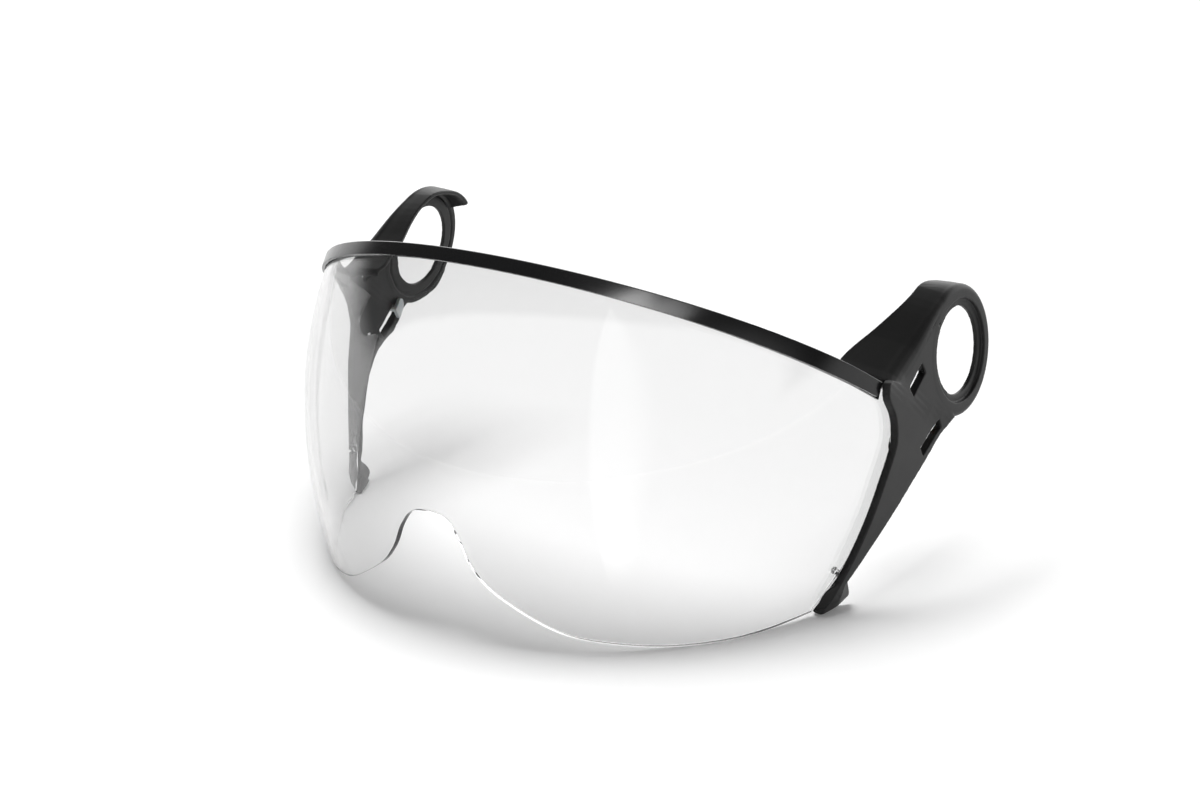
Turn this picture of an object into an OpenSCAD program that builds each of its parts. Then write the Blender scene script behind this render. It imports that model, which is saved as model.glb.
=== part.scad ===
// Flip-up face visor for a helmet: a clear two-lobed lens, a brow strip on its
// top edge, and two moulded side arms that end in open rings.
// It lies as it does when put down, on the two lobes of the lens and on the
// feet of the arms, with the wearer's left at +X and the front at -Y.

/* [Fit on the helmet] */
// Distance between the outer faces of the two rings
ring_span = 210; // [195:1:225]
// Diameter of the hole in each ring
hub_bore_d = 27.7; // [24:0.1:29]
// Diameter of the shallow seat round the hole, on the outside
hub_seat_d = 32.6; // [31:0.1:34]
// Depth of that outer seat
hub_seat_depth = 1.2; // [0.8:0.1:1.6]
// Width of the index notch in the rim of the seat
index_w = 0.9; // [0.6:0.1:1.2]
// Height of the lip that the hole goes through
lip_h = 1.6; // [1.2:0.1:2]
// Middle diameter of the groove on the inside of the ring
groove_d = 36; // [34:0.1:37]
// Outer diameter of the ring
ring_d = 41.6; // [40:0.1:46]
// Angle that the rings lean outwards at the top
ring_camber = 5; // [2:0.5:8]
// Angle that the ring faces turn towards the front
ring_toe = 4.4; // [2:0.2:7]

/* [Arm] */
// Wall thickness of the arm's plate
arm_t = 2.7; // [2:0.1:3.2]
// Radius of the soft edge between the ring and the hood
crease_r = 2; // [1:0.1:2.4]
// Radius of the soft edge at the hood's lower front end
crease_front_r = 4.8; // [3:0.2:5.4]
// Depth of the hood over the ring
hood_d = 10.2; // [8:0.2:13]
// Depth of the hood at its lower front end
hood_front_d = 18.6; // [12:0.2:20]
// Wall thickness of the hood
hood_t = 1.6; // [1.2:0.1:2.2]
// Angle that the hood flares outwards behind the ring
hood_flare = 5; // [4:1:12]
// Angle that the hood flares outwards in front of the ring
hood_front_flare = 17; // [10:1:20]
// Width of the two slots in the plate
slot_w = 4; // [3:0.1:4.5]

/* [Lens] */
// Wall thickness of the lens
lens_t = 2; // [1.6:0.1:2.4]
// Height of the lens's edge at the nose, below the rings' centre
nose_drop = 104.7; // [100:0.5:110]
// Reach of the lens in front of the rings, at eye height
lens_reach = 107.4; // [98:0.5:118]
// Radius that the sides of the lens curve in with towards the chin
side_r = 200; // [180:5:260]
// Gap between the lens and what holds it
lens_gap = 0.3; // [0.2:0.05:0.4]

/* [Brow strip] */
// Height of the strip's front face
strip_h = 5.4; // [5:0.1:7]
// Wall thickness of the strip
strip_t = 1.1; // [0.8:0.1:1.4]
// Height of the strip's inner lip
strip_lip_h = 5; // [4:0.1:5.2]
// Gap between the strip and the lens
strip_gap = 0.15; // [0.1:0.05:0.2]

/* [Fasteners] */
// Diameter of the head of each lens stud
stud_head_d = 2.6; // [2.4:0.1:3]
// Diameter of the shank of each lens stud
stud_d = 1.6; // [1.4:0.1:1.8]
// Thickness of the head of each slot clip
clip_t = 1.2; // [0.8:0.1:1.6]

/* [Hidden] */
$fn = 96;

// Colours
clear_c = [0.86, 0.9, 0.92, 0.35];
black_c = [0.13, 0.13, 0.14];
strip_c = [0.18, 0.18, 0.19];
nylon_c = [0.8, 0.82, 0.82];

// Worn position: x to the left, f forwards and u upwards from the point
// midway between the rings. Put down, the visor tips back by rest_tilt.
rest_tilt = 36;
function worn(x, f, u) = [x, -f, u];
function unit(v) = v / norm(v);
// Place of a worn point once put down, before it is lifted and centred
function put_down_y(v) = v.y * cos(rest_tilt) + v.z * sin(rest_tilt);
function put_down_z(v) = v.z * cos(rest_tilt) - v.y * sin(rest_tilt);

// Sections of the lens: upright above side_top_u, curving in below it
side_top_u = -19;
eye_u = -65.1;
brow_u = -25.2;
eye_span = 42;
leg_stand = 0.8;
lens_side_x = ring_span / 2 + leg_stand - arm_t - lens_gap;
eye_centre_f = 15.5;
lens_rear_f = 10;
rear_corner_u = 12.2 - nose_drop;
lens_top_u = brow_u - strip_t - strip_gap;

// Half width of the lens at a height
function half_w(u) =
    lens_side_x - side_r + sqrt(side_r ^ 2 - max(0, side_top_u - u) ^ 2);
// Share of the way from eye height to the brow
function rise(u) = (u - eye_u) / eye_span;
// Forward place where the flat sides of a section turn into its curve
function centre_f(u) = eye_centre_f + 15.9 * rise(u);
// Depth of the curved front of a section
function front_d(u) = lens_reach - eye_centre_f - 14.1 * rise(u) - 13.7 * rise(u) ^ 2;
// Flat side that stands for one degree past the quarter turn
side_step = 1.7;
// Angle at which a section reaches the rear edge
function end_angle(u) =
    let (v = max(u, rear_corner_u), over = centre_f(v) - lens_rear_f)
    over > 0 ? 90 + over / side_step : acos(-over / front_d(v));
// Point of the lens's outer face at an angle from the nose and a height
function lens_point(a, u) =
    let (t = abs(a), s = sign(a) * half_w(u))
    t < 90
        ? worn(s * sin(t), centre_f(u) + front_d(u) * cos(t), u)
        : worn(s, centre_f(u) - (t - 90) * side_step, u);
// Outward direction of the lens's face
function lens_normal(a, u) = unit(cross(
    lens_point(a + 0.5, u) - lens_point(a - 0.5, u),
    lens_point(a, u + 0.5) - lens_point(a, u - 0.5)));

// Lower edge of the lens: angle from the nose, and height against the nose
LOWER_EDGE = [[0, 0], [4.2, -0.9], [7.4, -5.2], [10.5, -11.3], [16.5, -16.5],
    [29, -20.5], [40, -20], [56, -14.2], [72, -3.4], [87.5, 12.2]];
// Side view of the rounded notch in each rear edge of the lens
NOTCH = [[-4, -36.4], [10, -36.4], [13, -37.5], [16.5, -39.4], [19, -39.9], [21.2, -39],
    [22.6, -36.8], [22.9, -34.4], [20.8, -27.4], [18, -21], [-4, -18]];
edge_steps = 4;
lens_rows = 14;

// Smooth curve through a list of points
function slope_at(p, i) =
    i == 0 ? p[1] - p[0]
    : i == len(p) - 1 ? p[i] - p[i - 1]
    : (p[i + 1] - p[i - 1]) / 2;
function between(p, i, t) =
    (2 * t ^ 3 - 3 * t ^ 2 + 1) * p[i] + (t ^ 3 - 2 * t ^ 2 + t) * slope_at(p, i)
    + (3 * t ^ 2 - 2 * t ^ 3) * p[i + 1] + (t ^ 3 - t ^ 2) * slope_at(p, i + 1);
function curve(p, steps) = concat(
    [for (i = [0 : len(p) - 2], k = [0 : steps - 1]) between(p, i, k / steps)],
    [p[len(p) - 1]]);

half_edge = curve(LOWER_EDGE, edge_steps);
edge_end = half_edge[len(half_edge) - 1].x;
// Whole lower edge from the right arm to the left one
whole_edge = concat(
    [for (i = [len(half_edge) - 1 : -1 : 1]) [-half_edge[i].x, half_edge[i].y]],
    half_edge);
// Columns of the lens: share of the way round, and height of the lower edge
columns = [for (e = whole_edge) [e.x / edge_end, e.y - nose_drop]];
lower_points = [for (c = columns) lens_point(c[0] * end_angle(c[1]), c[1])];
// Height of the rings' centre over the floor: the lobes just touch it
ring_lift = -min([for (v = lower_points) put_down_z(v)]);
// Place of the rings' centre: the part is centred between its front and back
ring_y = -(min([for (v = lower_points) put_down_y(v)]) + ring_d / 2) / 2;

// Frame of the left arm: h outboard along the ring's axis, p forwards and
// q upwards in the plane of the ring's outer face
axis_h = [cos(ring_camber) * cos(ring_toe), -cos(ring_camber) * sin(ring_toe), sin(ring_camber)];
axis_p = [-sin(ring_toe), -cos(ring_toe), 0];
axis_q = [-sin(ring_camber) * cos(ring_toe), sin(ring_camber) * sin(ring_toe), cos(ring_camber)];
function arm_point(p, q, h) =
    [ring_span / 2, 0, 0] + p * axis_p + q * axis_q + h * axis_h;

// The plate is flat round the ring and follows the side of the lens below
flat_q = -19.5;
follow_q = -28;
function follow(q) = smooth((flat_q - q) / (flat_q - follow_q));
function reach_h(p, q, h) =
    (half_w(arm_point(p, q, h).z) + lens_gap + arm_t - arm_point(p, q, 0).x) / axis_h.x;
function plate_h(p, q) =
    follow(q) * reach_h(p, q, reach_h(p, q, reach_h(p, q, 0)));

ring_r = ring_d / 2;
hub_r = hub_bore_d / 2;
// The crease leaves the ring as a tangent and ends at the brow
crease_a = 31.6;
crease_l = 39.8;
crease_n = [cos(crease_a), sin(crease_a)];
crease_dir = [sin(crease_a), -cos(crease_a)];
// The crease bulges a little just in front of the ring
crease_bulge = 0.7;
function bulge(l) = crease_bulge * max(0, sin(min(180, max(0, 180 * (l + 6) / 28))));
function on_crease(l) = ring_r * crease_n + l * crease_dir;
function smooth(t) = let (c = min(1, max(0, t))) c * c * (3 - 2 * c);
// Radius of the soft edge at a distance down the crease
function edge_r(l) = crease_r + (crease_front_r - crease_r) * smooth(l / 30);
// The plate lies this much under the ring's face and the soft edge
flush = 0.04;
// The hood's back end leans forwards from the ring's face to its inner edge
hood_back_a = 118;
hood_back_lean = 14;
ring_h = hub_seat_depth + lip_h;
// Direction of the index notch, seen from the ring's centre
index_a = 7;

// Side view of the plate: its front edge from the brow down to the foot, and
// its rear edge from the foot back up to the ring
FRONT_EDGE = [[39.6, -24], [41.4, -26], [40.3, -28.6], [37.4, -30.2], [31.4, -32],
    [26.6, -35], [23, -38.8], [21.2, -44], [19.6, -50], [16.3, -60.5], [13.8, -70.2],
    [11.75, -80], [11.2, -84]];
REAR_EDGE = [[6, -84], [8.6, -80.4], [7.4, -68.5], [5.6, -57.8], [4, -50], [2.9, -45],
    [1.6, -40.6], [0.2, -36.3], [-1.3, -31.5], [-3.3, -25.8], [-4.8, -22], [-6.4, -19.6]];
// Foot: corners of its rounded block, as forward and upward place and depth
FOOT = [[9.6, -79.2, 0.8], [11.1, -81, 0.8], [10.6, -85, 0.8], [10, -88.3, 1.1], [5.6, -84.6, 1.2],
    [-1.6, -80.9, 3.4], [1.6, -85.4, 2.9], [6.7, -89.7, 2.6], [12.3, -84.6, 2.4],
    [12.4, -87, 3.6], [11.2, -89.8, 3.6], [7, -89.4, 4.4], [4, -81.4, 5.8],
    [6.8, -84.4, 5.8], [7.4, -86.6, 5.7]];
foot_edge_r = 0.7;
// Depth of the inner face of the lens behind the plate's outer face
lens_back = arm_t + lens_gap + lens_t;

// Centre lines of the slots, from top to bottom
SLOTS = [[[20.9, -13.3], [25.1, -22.7]], [[0.8, -24.2], [5, -35.2]]];
stud_a = 88.8;
stud_u = -79;
clear = 0.1;

// Solid between two grids of points, seen from the first one with its first
// index running right and its second one down
module shell_solid(front, back) {
    n = len(front);
    m = len(front[0]);
    points = [for (side = [front, back], column = side, v = column) v];
    function at(side, j, i) = side * n * m + j * m + i;
    faces = concat(
        [for (j = [0 : n - 2], i = [0 : m - 2]) each [
            [at(0, j, i), at(0, j + 1, i), at(0, j + 1, i + 1)],
            [at(0, j, i), at(0, j + 1, i + 1), at(0, j, i + 1)],
            [at(1, j, i), at(1, j + 1, i + 1), at(1, j + 1, i)],
            [at(1, j, i), at(1, j, i + 1), at(1, j + 1, i + 1)]]],
        [for (j = [0 : n - 2]) each [
            [at(0, j, 0), at(1, j, 0), at(1, j + 1, 0)],
            [at(0, j, 0), at(1, j + 1, 0), at(0, j + 1, 0)],
            [at(0, j, m - 1), at(1, j + 1, m - 1), at(1, j, m - 1)],
            [at(0, j, m - 1), at(0, j + 1, m - 1), at(1, j + 1, m - 1)]]],
        [for (i = [0 : m - 2]) each [
            [at(0, 0, i), at(0, 0, i + 1), at(1, 0, i + 1)],
            [at(0, 0, i), at(1, 0, i + 1), at(1, 0, i)],
            [at(0, n - 1, i), at(1, n - 1, i + 1), at(0, n - 1, i + 1)],
            [at(0, n - 1, i), at(1, n - 1, i), at(1, n - 1, i + 1)]]]);
    polyhedron(points, faces);
}

// Lays the visor down from the worn position
module put_down() {
    translate([0, ring_y, ring_lift]) rotate([-rest_tilt, 0, 0]) children();
}

// Places a child modelled with h on X, p on -Y and q on Z on the left arm
module on_arm() {
    translate([ring_span / 2, 0, 0]) rotate([0, -ring_camber, -ring_toe]) children();
}

// Places a child on the lens, with Z along the lens's outward direction
module on_lens(a, u) {
    n = lens_normal(a, u);
    translate(lens_point(a, u)) rotate([0, acos(n.z), atan2(n.y, n.x)]) children();
}

// Layer that follows the plate, from one depth behind its face to another
module layer(from_d, to_d, top_q = 12, low_q = -97) {
    rows = concat([top_q],
        [for (q = [flat_q : -2 : follow_q - 1]) if (q < top_q) q],
        [for (q = [follow_q - 5 : -5 : low_q + 2]) if (q < top_q) q], [low_q]);
    cols = [46, 28, lens_rear_f, 2, -6, -26];
    shell_solid(
        [for (p = cols) [for (q = rows) arm_point(p, q, plate_h(p, q) - from_d)]],
        [for (p = cols) [for (q = rows) arm_point(p, q, plate_h(p, q) - to_d)]]);
}

// Bar of a side-view outline, square to the ring's face
module side_bar(outline) {
    on_arm() translate([-40, 0, 0]) rotate([90, 0, 90])
        linear_extrude(60) polygon([for (v = outline) [-v.x, v.y]]);
}

// Open ring with its stepped hole
module ring() {
    lip_top = hub_seat_depth + 0.3;
    profile = concat(
        [[hub_r, -ring_h], [hub_r, -lip_top], [hub_r + 1.2, -hub_seat_depth],
        [hub_seat_d / 2, -hub_seat_depth], [hub_seat_d / 2, 0], [ring_r - crease_r, 0]],
        [for (t = [15 : 15 : 75])
            [ring_r - crease_r + crease_r * sin(t), -crease_r + crease_r * cos(t)]],
        [[ring_r, -crease_r], [ring_r, 0.4 - ring_h], [ring_r - 0.4, -ring_h]]);
    on_arm() rotate([0, 90, 0]) rotate_extrude() polygon(profile);
}

// Hood: one section swept round the ring and down the crease
module hood() {
    // Share of the arc behind the crease, and distance down the crease
    stations = concat(
        [for (k = [14 : -1 : 1]) [k / 14, 0]],
        [for (k = [0 : 12]) [0, crease_l * k / 12]],
        [[0, crease_l + 0.8]]);
    // The last station turns in, so that the lower front end is rounded
    function inset(s) = s[1] > crease_l ? crease_front_r * 0.3 : 0;
    function depth(s) = hood_d + (hood_front_d - hood_d) * smooth(s[1] / crease_l);
    function flare(s, h) =
        let (angle = s[0] > 0
            ? hood_front_flare - (hood_front_flare - hood_flare) * smooth(s[0] * 2)
            : hood_front_flare)
        tan(angle) * max(0, -h - edge_r(s[1]));
    // Point of a section: outward from the crease line, and along the ring's axis
    function place(s, n, h) =
        let (end = hood_back_a - hood_back_lean * min(1, max(0, -h / hood_d)),
            a = crease_a + s[0] * (end - crease_a), dir = [cos(a), sin(a)],
            o = (ring_r + (s[0] > 0 ? 0 : bulge(s[1]) - bulge(0))) * dir + s[1] * crease_dir,
            v = o + (n - inset(s)) * dir, w = o + min(0, n - inset(s)) * dir)
        arm_point(v.x, v.y, plate_h(w.x, w.y) + h);
    shell_solid(
        [for (s = stations) let (r = edge_r(s[1]), d = depth(s)) concat(
            [place(s, -r - 1.4, -0.4 * arm_t), place(s, -r, -2 * flush)],
            [for (t = [18 : 18 : 90]) place(s, r * (sin(t) - 1) - flush, r * (cos(t) - 1) - flush)],
            [place(s, flare(s, -d * 0.5), -d * 0.5),
            place(s, flare(s, -d) - 0.2, 0.3 - d),
            place(s, flare(s, -d) - 0.5, -d)])],
        [for (s = stations) let (r = edge_r(s[1]), d = depth(s)) concat(
            [place(s, -r - 1.4, -0.7 * arm_t), place(s, -hood_t - 1.3, -0.8 * arm_t)],
            [for (t = [18 : 18 : 90])
                place(s, -hood_t - 1.3 * (1 - sin(t)), -0.85 * arm_t - r * (1 - cos(t)))],
            [place(s, flare(s, -d * 0.5) - hood_t, -d * 0.5),
            place(s, flare(s, -d) - hood_t, 0.3 - d),
            place(s, flare(s, -d) + 0.3 - hood_t, -d)])]);
}

// Outline of the whole plate, without the soft edge that the hood brings
function plate_outline() = concat(
    [for (l = [0 : 6 : crease_l - 3]) on_crease(l) - (edge_r(l) + 0.3) * crease_n],
    curve(FRONT_EDGE, 3), REAR_EDGE, [[0, 2 - ring_r], [0, ring_r - crease_r]]);

// Rear rib that the cut edge of the lens stops against, down into the foot
rib_front = lens_rear_f - 2 * lens_gap;
RIB = [[rib_front - 0.2, -37.3], [rib_front + 0.5, -84], [0, -84], [0, -37.3]];
// The rib's inner rear edge is cut away: height, and depth that the cut starts at
RIB_CUT = [[-31, 3.2], [-35.5, 1.4], [-40, 0.5], [-45, 0.5], [-51, 0.8], [-57, 1.9],
    [-67, 3.4], [-75, 4.8], [-84, 5.4]];
cut_slope = 1.5;
module slot_bar(s) {
    dir = unit(s[1] - s[0]);
    n = [dir.y, -dir.x] * slot_w / 2;
    side_bar([s[0] + n, s[1] + n, s[1] - n, s[0] - n]);
}

// Slanted cut along the rib
module rib_cut() {
    rear = [for (c = RIB_CUT) lookup(c[0], [for (v = REAR_EDGE) if (v.y < -19) [v.y, v.x]])];
    function place(i, shift, d) =
        let (q = RIB_CUT[i][0], p = rear[i] + shift + cut_slope * (d - RIB_CUT[i][1]))
        arm_point(p, q, plate_h(rear[i] + 2, q) - d);
    rows = [0 : len(RIB_CUT) - 1];
    deep = lens_back + 2;
    shell_solid(
        [for (i = rows) [place(i, 0, RIB_CUT[i][1] - 2), place(i, 0, deep)]],
        [for (i = rows) [place(i, -16, RIB_CUT[i][1] - 2), place(i, -16, deep)]]);
}

// Rounded block at the lower end, open in front for the corner of the lens
module foot() {
    difference() {
        hull() for (v = FOOT)
            translate(arm_point(v.x, v.y, plate_h(v.x, v.y) - v.z)) sphere(foot_edge_r, $fn = 12);
        intersection() {
            layer(arm_t, lens_back + lens_gap, top_q = -70, low_q = -99);
            side_bar([[rib_front, -70], [rib_front, -99], [20, -99], [20, -70]]);
        }
    }
}

module arm() {
    difference() {
        union() {
            ring();
            hood();
            foot();
            intersection() {
                side_bar(plate_outline());
                union() {
                    layer(flush, arm_t);
                    intersection() {
                        layer(arm_t - 0.5, lens_back);
                        side_bar(RIB);
                    }
                }
            }
        }
        rib_cut();
        on_arm() rotate([0, 90, 0]) {
            translate([0, 0, -hub_seat_depth]) cylinder(h = 10, r = hub_seat_d / 2);
            translate([0, 0, -20]) cylinder(h = 40, r = hub_r);
            rotate_extrude() translate([groove_d / 2 - 0.4, -ring_h - 1]) square([0.8, 1.5]);
        }
        on_arm() rotate([-index_a, 0, 0])
            translate([-0.9, -hub_seat_d / 2 - 1.7, -index_w / 2]) cube([3, 2.4, index_w]);
        for (s = SLOTS) slot_bar(s);
        // The floor that the foot stands on
        rotate([rest_tilt, 0, 0]) translate([0, -300, -100 - ring_lift]) cube([200, 400, 100]);
    }
}

module lens_stud_solid() {
    on_lens(stud_a, stud_u) {
        translate([0, 0, -lens_t - 0.5]) cylinder(h = lens_t + 0.5, r = stud_d / 2);
        translate([0, 0, -lens_t - 2 * clear]) mirror([0, 0, 1]) rotate_extrude()
            polygon([[0, 0], [stud_head_d / 2, 0], [stud_head_d / 2, 0.4],
                [stud_head_d / 2 - 0.5, 0.8], [0, 0.9]]);
    }
}

module slot_clip_solid() {
    s = SLOTS[1];
    dir = unit(s[1] - s[0]);
    c = s[0] - 1.2 * dir;
    h = plate_h(c.x, c.y) - arm_t - 0.5;
    lean = atan2(dir.x, -dir.y);
    slope = (plate_h(c.x, c.y + 2) - plate_h(c.x, c.y - 3)) / 5;
    on_arm() translate([h, -c.x, c.y]) rotate([-lean, 0, 0]) rotate([0, atan(slope), 0]) {
        translate([-clip_t, -2.2, -3.4]) cube([clip_t, 4.4, 4]);
        translate([-clip_t, 0, 0.6]) rotate([0, 90, 0]) cylinder(h = clip_t, r = 2.2);
        translate([-0.2, -slot_w / 2 + 2 * clear, -3.2]) cube([arm_t, 1, 1.2]);
    }
}

module lens() {
    color(clear_c) put_down() difference() {
        shell_solid(
            [for (c = columns) [for (k = [0 : lens_rows])
                let (u = lens_top_u + (c[1] - lens_top_u) * k / lens_rows)
                lens_point(c[0] * end_angle(u), u)]],
            [for (c = columns) [for (k = [0 : lens_rows])
                let (u = lens_top_u + (c[1] - lens_top_u) * k / lens_rows, a = c[0] * end_angle(u))
                lens_point(a, u) - lens_t * lens_normal(a, u)]]);
        for (side = [0, 1]) mirror([side, 0, 0]) {
            side_bar(NOTCH);
            on_lens(stud_a, stud_u) translate([0, 0, -4]) cylinder(h = 6, r = stud_d / 2 + clear);
        }
    }
}

module brow_strip() {
    end = 80.9;
    end_lean = 0.6;
    // The inner lip reaches further round than the front
    lip_end = 83.6;
    out_d = strip_gap + strip_t;
    in_d = lens_t + strip_gap;
    round_d = strip_t * 0.5;
    // Sections from the inner lip over the top to the front, outside and inside
    outside = [[-in_d - strip_t, -strip_lip_h], [-in_d - strip_t, -round_d],
        [-in_d - strip_t + round_d, 0], [out_d - round_d, 0],
        [out_d - 0.15 * strip_t, -0.15 * strip_t], [out_d, -round_d], [out_d, -strip_h]];
    inside = [[-in_d, -strip_lip_h], [-in_d, -strip_t - 0.01], [-in_d + 0.3, -strip_t],
        [strip_gap - 0.3, -strip_t], [strip_gap - 0.1, -strip_t],
        [strip_gap, -strip_t - 0.01], [strip_gap, -strip_h]];
    angles = [for (c = columns) let (a = c[0] * end_angle(lens_top_u)) if (abs(a) < end - 2) a];
    // The ends lean and are a little lower than the middle
    function place(a, v) =
        let (t = abs(a) / end,
            b = abs(a) < end ? a
                : sign(a) * (v.x < -1 ? lip_end : end + v.y / strip_h * end_lean),
            u = brow_u + v.y * (1 - 0.12 * t ^ 6), n = lens_normal(b, u), flat = [n.x, n.y, 0],
            // The lens leans, so it is thicker when measured level
            more = v.x < -1 ? lens_t * (1 / norm(flat) - 1) : 0)
        lens_point(b, u) + (v.x - more) * unit(flat);
    color(strip_c) put_down() shell_solid(
        [for (a = concat([-end], angles, [end])) [for (v = outside) place(a, v)]],
        [for (a = concat([-end], angles, [end])) [for (v = inside) place(a, v)]]);
}

module left_arm() {
    color(black_c) put_down() arm();
}

module right_arm() {
    color(black_c) put_down() mirror([1, 0, 0]) arm();
}

module left_slot_clip() {
    color(nylon_c) put_down() slot_clip_solid();
}

module right_slot_clip() {
    color(nylon_c) put_down() mirror([1, 0, 0]) slot_clip_solid();
}

module left_lens_stud() {
    color(nylon_c) put_down() lens_stud_solid();
}

module right_lens_stud() {
    color(nylon_c) put_down() mirror([1, 0, 0]) lens_stud_solid();
}

lens();
brow_strip();
left_arm();
right_arm();
left_slot_clip();
right_slot_clip();
left_lens_stud();
right_lens_stud();
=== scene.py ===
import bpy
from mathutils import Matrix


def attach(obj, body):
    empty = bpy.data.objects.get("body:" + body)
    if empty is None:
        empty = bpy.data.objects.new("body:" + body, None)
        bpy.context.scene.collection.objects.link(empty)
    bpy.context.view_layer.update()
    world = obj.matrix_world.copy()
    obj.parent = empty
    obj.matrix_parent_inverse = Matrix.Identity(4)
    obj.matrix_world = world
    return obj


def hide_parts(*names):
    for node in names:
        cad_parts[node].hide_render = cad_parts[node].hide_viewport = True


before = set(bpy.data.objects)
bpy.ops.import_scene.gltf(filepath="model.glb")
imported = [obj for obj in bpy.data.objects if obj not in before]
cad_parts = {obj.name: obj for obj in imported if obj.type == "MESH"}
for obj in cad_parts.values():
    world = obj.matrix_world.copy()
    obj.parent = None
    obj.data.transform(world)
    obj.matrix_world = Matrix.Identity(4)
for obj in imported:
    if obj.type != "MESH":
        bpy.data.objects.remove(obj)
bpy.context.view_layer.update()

# ---- Lens
# One shell of clear polycarbonate, 2 mm thick, curved both ways. It is injection
# moulded and polished, and all its edges are finely rounded.
import math

import bpy
from mathutils import Vector

MM = 0.001
# Points nearer than this are one point; all angles here are in degrees
SAME_POINT_MM = 0.002
FLAT_BELOW = 4
SMOOTH_BELOW = 35


def merged_copy(node, name):
    """A CAD node's shape as one closed mesh in a new object, selected and active."""
    bpy.ops.object.select_all(action="DESELECT")
    piece = bpy.data.objects.new(name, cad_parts[node].data.copy())
    piece.data.materials.clear()
    bpy.context.collection.objects.link(piece)
    piece.select_set(True)
    bpy.context.view_layer.objects.active = piece
    bpy.ops.mesh.customdata_custom_splitnormals_clear()
    bpy.ops.object.mode_set(mode="EDIT")
    bpy.ops.mesh.select_all(action="SELECT")
    bpy.ops.mesh.remove_doubles(threshold=SAME_POINT_MM * MM)
    bpy.ops.mesh.tris_convert_to_quads(face_threshold=math.radians(FLAT_BELOW))
    bpy.ops.object.mode_set(mode="OBJECT")
    return piece


def apply_modifier(piece, kind, **settings):
    """Adds a modifier with its settings to the active piece and applies it."""
    modifier = piece.modifiers.new(kind.title(), kind)
    for name, value in settings.items():
        setattr(modifier, name, value)
    bpy.ops.object.modifier_apply(modifier=modifier.name)


def round_edges(piece, width_mm, above=40, segments=3):
    """Rounds the active piece's edges that are sharper than an angle, and smooths its shading."""
    apply_modifier(piece, "BEVEL", width=width_mm * MM, segments=segments,
                   limit_method="ANGLE", angle_limit=math.radians(above), loop_slide=False)
    bpy.ops.object.shade_smooth_by_angle(angle=math.radians(SMOOTH_BELOW))


def calm_mirroring(piece):
    """Shades the active piece's broad faces evenly, so that they mirror without bends."""
    apply_modifier(piece, "WEIGHTED_NORMAL", weight=100, keep_sharp=True)


def linear(code):
    """The linear colour of an sRGB hex code."""
    parts = [int(code[i:i + 2], 16) / 255 for i in (1, 3, 5)]
    return [c / 12.92 if c <= 0.04045 else ((c + 0.055) / 1.055) ** 2.4 for c in parts] + [1.0]


def add_node(tree, kind, settings=(), **inputs):
    """Adds a node, sets its properties, and sets or links its inputs.

    An input is called by its name, with _ for a space, or by _ and its number.
    """
    node = tree.nodes.new(kind)
    for name, value in dict(settings).items():
        setattr(node, name, value)
    for name, value in inputs.items():
        socket = node.inputs[int(name[1:]) if name[1:].isdigit() else name.replace("_", " ")]
        if isinstance(value, bpy.types.NodeSocket):
            tree.links.new(value, socket)
        else:
            socket.default_value = value
    return node


def new_material(name):
    """A material without nodes, its node tree, and the tree's new output node."""
    material = bpy.data.materials.new(name)
    material.use_nodes = True
    tree = material.node_tree
    tree.nodes.clear()
    return material, tree, tree.nodes.new("ShaderNodeOutputMaterial")


# Polycarbonate, moulded and polished: clear, slightly grey in its depth, with the
# faint long waves that a moulded sheet shows in what it mirrors
WAVE_MM, WAVE_HEIGHT_MM = 38, 0.05
clear_pc, tree, output = new_material("clear_polycarbonate")
place = add_node(tree, "ShaderNodeTexCoord").outputs["Object"]
waves = add_node(tree, "ShaderNodeTexNoise", Vector=place, Scale=1 / (WAVE_MM * MM), Detail=1.0)
bump = add_node(tree, "ShaderNodeBump", Height=waves.outputs["Fac"],
                Distance=WAVE_HEIGHT_MM * MM, Strength=0.5)
pc = add_node(tree, "ShaderNodeBsdfPrincipled", Base_Color=linear("#e9e9e9"), Roughness=0.0,
              IOR=1.58, Transmission_Weight=1.0, Normal=bump.outputs["Normal"])
# The lamps shine through it, and its shadow's tone is given
let_through = add_node(tree, "ShaderNodeBsdfTransparent", Color=linear("#989898"))
lamp_ray = add_node(tree, "ShaderNodeLightPath").outputs["Is Shadow Ray"]
surface = add_node(tree, "ShaderNodeMixShader", _0=lamp_ray, _1=pc.outputs[0],
                   _2=let_through.outputs[0])
tree.links.new(surface.outputs[0], output.inputs["Surface"])

lens = merged_copy("lens", "clear_lens")
round_edges(lens, width_mm=0.3, above=50)
calm_mirroring(lens)
lens.data.materials.append(clear_pc)
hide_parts("lens")
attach(lens, "root")

# ---- Brow strip
# A channel of black ABS, moulded and pushed over the lens's top edge. Its face is
# smoother than the arms, so it mirrors the lamps as long soft bands.
RGBA = {"data_type": "RGBA"}

# ABS from a satin mould: black, with a gloss that clouds a little along the strip.
# The real grain is too fine to show, so it is drawn coarser.
STRIP_GRAIN_MM, STRIP_GRAIN_HEIGHT_MM = 0.5, 0.006
STRIP_CLOUD_MM = 22
strip_black, tree, output = new_material("satin_black_abs")
place = add_node(tree, "ShaderNodeTexCoord").outputs["Object"]
grain = add_node(tree, "ShaderNodeTexNoise", Vector=place, Scale=1 / (STRIP_GRAIN_MM * MM),
                 Detail=3.0)
cloud = add_node(tree, "ShaderNodeTexNoise", Vector=place, Scale=1 / (STRIP_CLOUD_MM * MM),
                 Detail=2.0)
shine = add_node(tree, "ShaderNodeMapRange", Value=cloud.outputs["Fac"],
                 To_Min=0.15, To_Max=0.19)
tone = add_node(tree, "ShaderNodeMix", RGBA, _0=cloud.outputs["Fac"],
                _6=linear("#0f0f0f"), _7=linear("#151516"))
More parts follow.
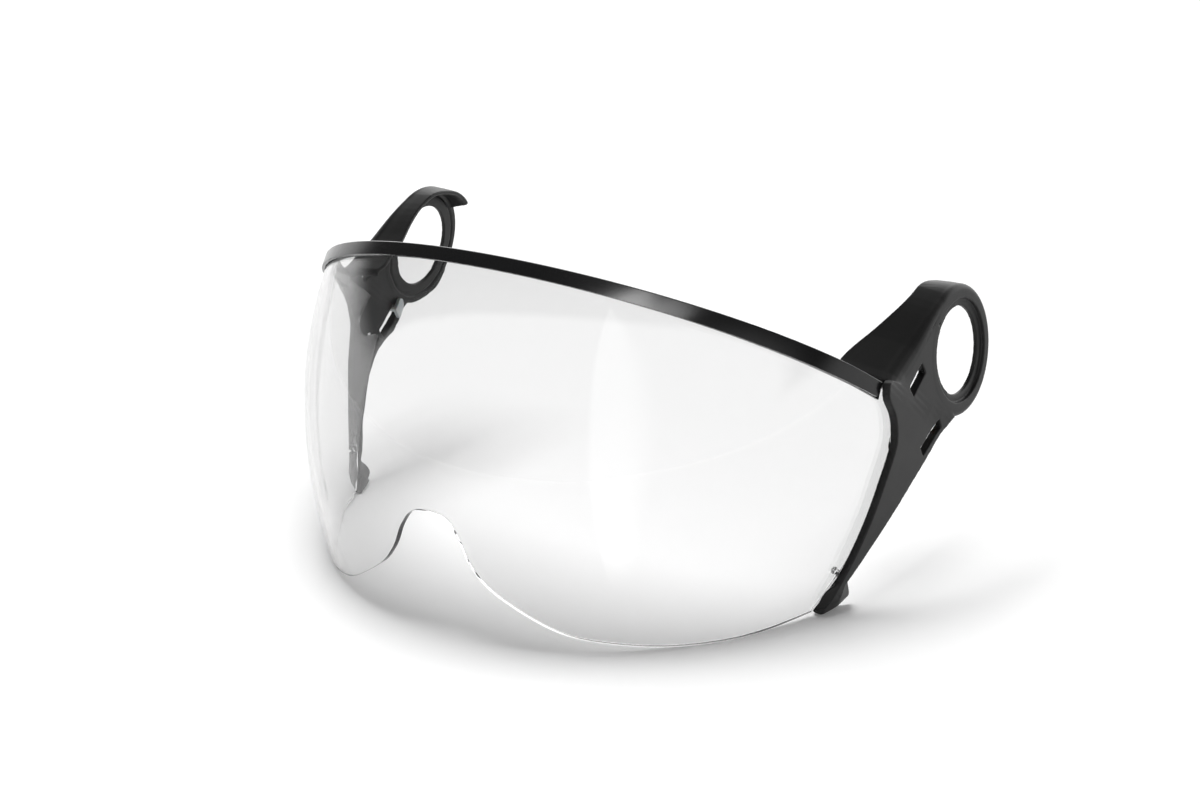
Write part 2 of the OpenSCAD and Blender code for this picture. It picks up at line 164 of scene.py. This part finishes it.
bump = add_node(tree, "ShaderNodeBump", Height=grain.outputs["Fac"],
                Distance=STRIP_GRAIN_HEIGHT_MM * MM, Strength=0.5)
abs_plastic = add_node(tree, "ShaderNodeBsdfPrincipled", Base_Color=tone.outputs[2],
                       Roughness=shine.outputs[0], IOR=1.5, Normal=bump.outputs["Normal"])
tree.links.new(abs_plastic.outputs[0], output.inputs["Surface"])

strip = merged_copy("brow_strip", "brow_channel")
round_edges(strip, width_mm=0.2)
calm_mirroring(strip)
strip.data.materials.append(strip_black)
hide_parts("brow_strip")
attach(strip, "root")

# ---- Arms
# Each is one moulding of black nylon: the ring for the helmet's hub, the hood round
# it, and the leg that holds the side of the lens. The mould softens all its edges.
ARM_SIDES = ("left", "right")
# The arm is remeshed this finely, then eased; a finer mesh passes 200,000 triangles
ARM_MESH_MM = 0.32
EASING_ROUNDS = 7

# Nylon from a spark-eroded mould: black and matt, so that edges catch broad soft
# light. The real grain is too fine to show, so it is drawn coarser.
ARM_GRAIN_MM, ARM_GRAIN_HEIGHT_MM = 0.45, 0.02
ARM_CLOUD_MM = 15
arm_black, tree, output = new_material("grained_black_nylon")
place = add_node(tree, "ShaderNodeTexCoord").outputs["Object"]
grain = add_node(tree, "ShaderNodeTexNoise", Vector=place, Scale=1 / (ARM_GRAIN_MM * MM),
                 Detail=4.0)
cloud = add_node(tree, "ShaderNodeTexNoise", Vector=place, Scale=1 / (ARM_CLOUD_MM * MM),
                 Detail=3.0)
shine = add_node(tree, "ShaderNodeMapRange", Value=cloud.outputs["Fac"],
                 To_Min=0.42, To_Max=0.5)
tone = add_node(tree, "ShaderNodeMix", RGBA, _0=cloud.outputs["Fac"],
                _6=linear("#0b0b0b"), _7=linear("#101010"))
bump = add_node(tree, "ShaderNodeBump", Height=grain.outputs["Fac"],
                Distance=ARM_GRAIN_HEIGHT_MM * MM, Strength=0.7)
nylon = add_node(tree, "ShaderNodeBsdfPrincipled", Base_Color=tone.outputs[2],
                 Roughness=shine.outputs[0], IOR=1.52, Specular_IOR_Level=0.25,
                 Normal=bump.outputs["Normal"])
tree.links.new(nylon.outputs[0], output.inputs["Surface"])

for side in ARM_SIDES:
    arm = merged_copy(side + "_arm", side + "_side_arm")
    arm.data.remesh_voxel_size = ARM_MESH_MM * MM
    bpy.ops.object.voxel_remesh()
    apply_modifier(arm, "SMOOTH", factor=0.5, iterations=EASING_ROUNDS)
    bpy.ops.object.shade_smooth()
    arm.data.materials.append(arm_black)
    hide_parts(side + "_arm")
    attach(arm, "root")

# ---- Clips and studs
# A small clip of natural nylon is pushed into the upper end of each rear slot. A stud
# of the lens's own plastic holds each rear lower corner of the lens in its arm's foot.

# Natural nylon, moulded: milky, with faint clouds, and a little light goes into it
CLIP_CLOUD_MM = 2
clip_white, tree, output = new_material("natural_nylon")
place = add_node(tree, "ShaderNodeTexCoord").outputs["Object"]
cloud = add_node(tree, "ShaderNodeTexNoise", Vector=place, Scale=1 / (CLIP_CLOUD_MM * MM),
                 Detail=2.0)
tone = add_node(tree, "ShaderNodeMix", RGBA, _0=cloud.outputs["Fac"],
                _6=linear("#c4c6c6"), _7=linear("#dedfdf"))
natural = add_node(tree, "ShaderNodeBsdfPrincipled", Base_Color=tone.outputs[2],
                   Roughness=0.35, IOR=1.53, Subsurface_Weight=0.2)
tree.links.new(natural.outputs[0], output.inputs["Surface"])

for side in ARM_SIDES:
    clip = merged_copy(side + "_slot_clip", side + "_clip")
    round_edges(clip, width_mm=0.25)
    clip.data.materials.append(clip_white)
    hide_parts(side + "_slot_clip")
    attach(clip, "root")

    stud = merged_copy(side + "_lens_stud", side + "_stud")
    round_edges(stud, width_mm=0.12, segments=2)
    stud.data.materials.append(clear_pc)
    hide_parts(side + "_lens_stud")
    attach(stud, "root")

# ---- Studio
# A white table before a white wall, under soft lamps, with a pale screen in front and
# a tall narrow light by the camera. Higher up the room is dark.
SMOOTH = {"interpolation_type": "SMOOTHSTEP"}
TIMES = {"operation": "MULTIPLY"}
TIMES_PLUS = {"operation": "MULTIPLY_ADD"}
PLUS = {"operation": "ADD"}

# Each side of the tall light: its angle to the right of the front, which way is in,
# and how softly it ends
PANEL_SIDES = ((25, 1, 0.05), (50, -1, 0.22))
PANEL_LEAN = (0.09, 0.05, 0)
PANEL_LIGHT = 0.6


def panel_window(tree, direction):
    """How much of the tall light lies in a direction, from 0 to 1."""
    level = add_node(tree, "ShaderNodeVectorMath", TIMES, _0=direction, _1=(1, 1, 0))
    ahead = add_node(tree, "ShaderNodeVectorMath", {"operation": "NORMALIZE"},
                     _0=level.outputs[0])
    windows = []
    for angle, way_in, softness in PANEL_SIDES:
        turn = math.radians(angle)
        inward = (way_in * math.cos(turn), way_in * math.sin(turn), 0)
        depth = add_node(tree, "ShaderNodeVectorMath", {"operation": "DOT_PRODUCT"},
                         _0=ahead.outputs[0], _1=inward)
        window = add_node(tree, "ShaderNodeMapRange", SMOOTH, Value=depth.outputs["Value"],
                          From_Min=0.0, From_Max=softness)
        windows.append(window.outputs[0])
    return add_node(tree, "ShaderNodeMath", TIMES, _0=windows[0], _1=windows[1]).outputs[0]


def seen_or_mirrored(tree):
    """One where the camera sees a surface, also in a mirror or through the lens."""
    path = add_node(tree, "ShaderNodeLightPath")
    seen = path.outputs["Is Camera Ray"]
    for ray in ("Is Glossy Ray", "Is Transmission Ray"):
        seen = add_node(tree, "ShaderNodeMath", {"operation": "ADD", "use_clamp": True},
                        _0=seen, _1=path.outputs[ray]).outputs[0]
    return seen


# The table is covered with white paper: matt, and white to the camera. Its glow,
# which only the camera and mirrors see, grows from the visor to the white wall.
TABLE_SIZE = 6
NEAR, FAR = 0.3, 2.1
GLOW_NEAR, GLOW_FAR = 0.1, 0.88
# A streak of light is painted on the table for the tall light's pool: it glows for the
# camera and mirrors alone, spreads from a place under the lens and begins a little way
# in front of it
PAINTED_STREAK_FROM = (0.057, -0.058, 0)
PAINTED_STREAK_STARTS, PAINTED_STREAK_FULL = 0.02, 0.06
floor_white, tree, output = new_material("white_table")
place = add_node(tree, "ShaderNodeTexCoord").outputs["Object"]
away = add_node(tree, "ShaderNodeVectorMath", {"operation": "LENGTH"}, _0=place)
far_glow = add_node(tree, "ShaderNodeMapRange", Value=away.outputs["Value"],
                    From_Min=NEAR, From_Max=FAR, To_Min=GLOW_NEAR, To_Max=GLOW_FAR)
from_lens = add_node(tree, "ShaderNodeVectorMath", {"operation": "SUBTRACT"}, _0=place,
                     _1=PAINTED_STREAK_FROM)
distance = add_node(tree, "ShaderNodeVectorMath", {"operation": "LENGTH"},
                    _0=from_lens.outputs[0])
clear_of_lens = add_node(tree, "ShaderNodeMapRange", SMOOTH, Value=distance.outputs["Value"],
                         From_Min=PAINTED_STREAK_STARTS, From_Max=PAINTED_STREAK_FULL)
# Painted light: the streak glows as brightly as the tall light, where it is clear of the lens
painted_streak = add_node(tree, "ShaderNodeMath", TIMES, _0=panel_window(tree, from_lens.outputs[0]),
                  _1=clear_of_lens.outputs[0])
strength = add_node(tree, "ShaderNodeMath", TIMES_PLUS, _0=painted_streak.outputs[0],
                    _1=PANEL_LIGHT, _2=far_glow.outputs[0])
glow = add_node(tree, "ShaderNodeEmission", Color=(1, 1, 1, 1), Strength=strength.outputs[0])
paper = add_node(tree, "ShaderNodeBsdfDiffuse", Color=linear("#f4f4f4"))
lit = add_node(tree, "ShaderNodeAddShader", _0=paper.outputs[0], _1=glow.outputs[0])
surface = add_node(tree, "ShaderNodeMixShader", _0=seen_or_mirrored(tree),
                   _1=paper.outputs[0], _2=lit.outputs[0])
tree.links.new(surface.outputs[0], output.inputs["Surface"])

bpy.ops.object.select_all(action="DESELECT")
bpy.ops.mesh.primitive_plane_add(size=TABLE_SIZE, location=(0, 0, 0))
floor = bpy.context.object
floor.name = "table"
floor.data.materials.append(floor_white)

# The room. Its places are given by how far a direction points up or to the back,
# from -1 to 1: where each thing is full, and where it has faded out.
WALL_FULL_BELOW, WALL_GONE_ABOVE = 0.45, 0.95
WALL_GONE_BEFORE, WALL_FULL_BEHIND = 0.42, 0.75
SCREEN_FULL_BEFORE, SCREEN_GONE_BEHIND = -0.22, -0.12
HORIZON_FULL_BELOW, HORIZON_GONE_ABOVE = 0.15, 0.35
# The wall is this much brighter again in a mirror
WALL_MIRRORED = 1.4
ROOM_LIGHT = 0.05

world = bpy.data.worlds.new("studio")
bpy.context.scene.world = world
world.use_nodes = True
tree = world.node_tree
tree.nodes.clear()
direction = add_node(tree, "ShaderNodeTexCoord").outputs["Generated"]
sides = add_node(tree, "ShaderNodeSeparateXYZ", Vector=direction)
up, back = sides.outputs["Z"], sides.outputs["Y"]

# The wall and the tall light shine on everything
below_top = add_node(tree, "ShaderNodeMapRange", SMOOTH, Value=up, From_Min=WALL_FULL_BELOW,
                     From_Max=WALL_GONE_ABOVE, To_Min=1.0, To_Max=0.0)
behind = add_node(tree, "ShaderNodeMapRange", SMOOTH, Value=back, From_Min=WALL_GONE_BEFORE,
                  From_Max=WALL_FULL_BEHIND, To_Min=0.0, To_Max=1.0)
wall = add_node(tree, "ShaderNodeMath", TIMES, _0=below_top.outputs[0], _1=behind.outputs[0])
leaning = add_node(tree, "ShaderNodeVectorMath", TIMES_PLUS, _0=up, _1=PANEL_LEAN,
                   _2=direction)
panel = panel_window(tree, leaning.outputs[0])
lights = add_node(tree, "ShaderNodeMath", TIMES_PLUS, _0=panel, _1=PANEL_LIGHT,
                  _2=wall.outputs[0])

# The screen, which hangs in front and over the camera, and the white horizon all
# round are there for the camera and mirrors alone
screen = add_node(tree, "ShaderNodeMapRange", SMOOTH, Value=back, From_Min=SCREEN_FULL_BEFORE,
                  From_Max=SCREEN_GONE_BEHIND, To_Min=1.0, To_Max=0.0)
screen_and_wall = add_node(tree, "ShaderNodeMath", TIMES_PLUS, _0=wall.outputs[0],
                           _1=WALL_MIRRORED, _2=screen.outputs[0])
horizon = add_node(tree, "ShaderNodeMapRange", SMOOTH, Value=up, From_Min=HORIZON_FULL_BELOW,
                   From_Max=HORIZON_GONE_ABOVE, To_Min=1.0, To_Max=0.0)
pale = add_node(tree, "ShaderNodeMath", {"operation": "MAXIMUM"},
                _0=screen_and_wall.outputs[0], _1=horizon.outputs[0])
background = add_node(tree, "ShaderNodeMath", TIMES, _0=pale.outputs[0],
                      _1=seen_or_mirrored(tree))

lit_room = add_node(tree, "ShaderNodeMath", PLUS, _0=lights.outputs[0],
                    _1=background.outputs[0])
bright = add_node(tree, "ShaderNodeMath", PLUS, _0=lit_room.outputs[0], _1=ROOM_LIGHT)
sky = add_node(tree, "ShaderNodeBackground", Color=(1, 1, 1, 1), Strength=bright.outputs[0])
tree.links.new(sky.outputs[0], add_node(tree, "ShaderNodeOutputWorld").inputs["Surface"])

LAMP_HEIGHT = 1.7
LAMP_AIM = Vector((0, 0, 0))


def soft_lamp(name, over, size, power, mirrored=True):
    """A softbox over a place on the table, which faces the visor. Gloss mirrors it or not."""
    light = bpy.data.lights.new(name, "AREA")
    light.shape = "RECTANGLE"
    light.size, light.size_y = size
    light.energy = power
    lamp = bpy.data.objects.new(name, light)
    bpy.context.collection.objects.link(lamp)
    lamp.location = (*over, LAMP_HEIGHT)
    lamp.rotation_euler = (LAMP_AIM - lamp.location).to_track_quat("-Z", "Y").to_euler()
    lamp.visible_glossy = lamp.visible_transmission = mirrored
    return lamp


soft_lamp("ceiling", over=(-0.2, 0), size=(1.2, 1.2), power=31, mirrored=False)
# Two small lamps are turned to the brow strip and light it alone
strip_only = bpy.data.collections.new("strip_only")
strip_only.objects.link(strip)
for lamp in (soft_lamp("overhead", over=(-0.1, -0.073), size=(0.33, 0.33), power=3.6),
             soft_lamp("overhead_side", over=(0.2, -0.14), size=(0.26, 0.3), power=1.3)):
    lamp.light_linking.receiver_collection = strip_only

# The camera's place, aim and focal length are fitted to the photograph
CAMERA_PLACE = Vector((0.4454, -0.6762, 0.3517))
CAMERA_AIM = Vector((-0.0282, 0.0582, 0.0272))
FOCAL_LENGTH_MM, SENSOR_WIDTH_MM = 82.2, 36
CAMERA_NEAREST = 0.01
view = bpy.data.cameras.new("camera")
view.lens = FOCAL_LENGTH_MM
view.sensor_width = SENSOR_WIDTH_MM
view.clip_start = CAMERA_NEAREST
camera = bpy.data.objects.new("camera", view)
bpy.context.collection.objects.link(camera)
camera.location = CAMERA_PLACE
camera.rotation_euler = (CAMERA_AIM - CAMERA_PLACE).to_track_quat("-Z", "Y").to_euler()
bpy.context.scene.camera = camera
bpy.context.scene.view_settings.view_transform = "Standard"
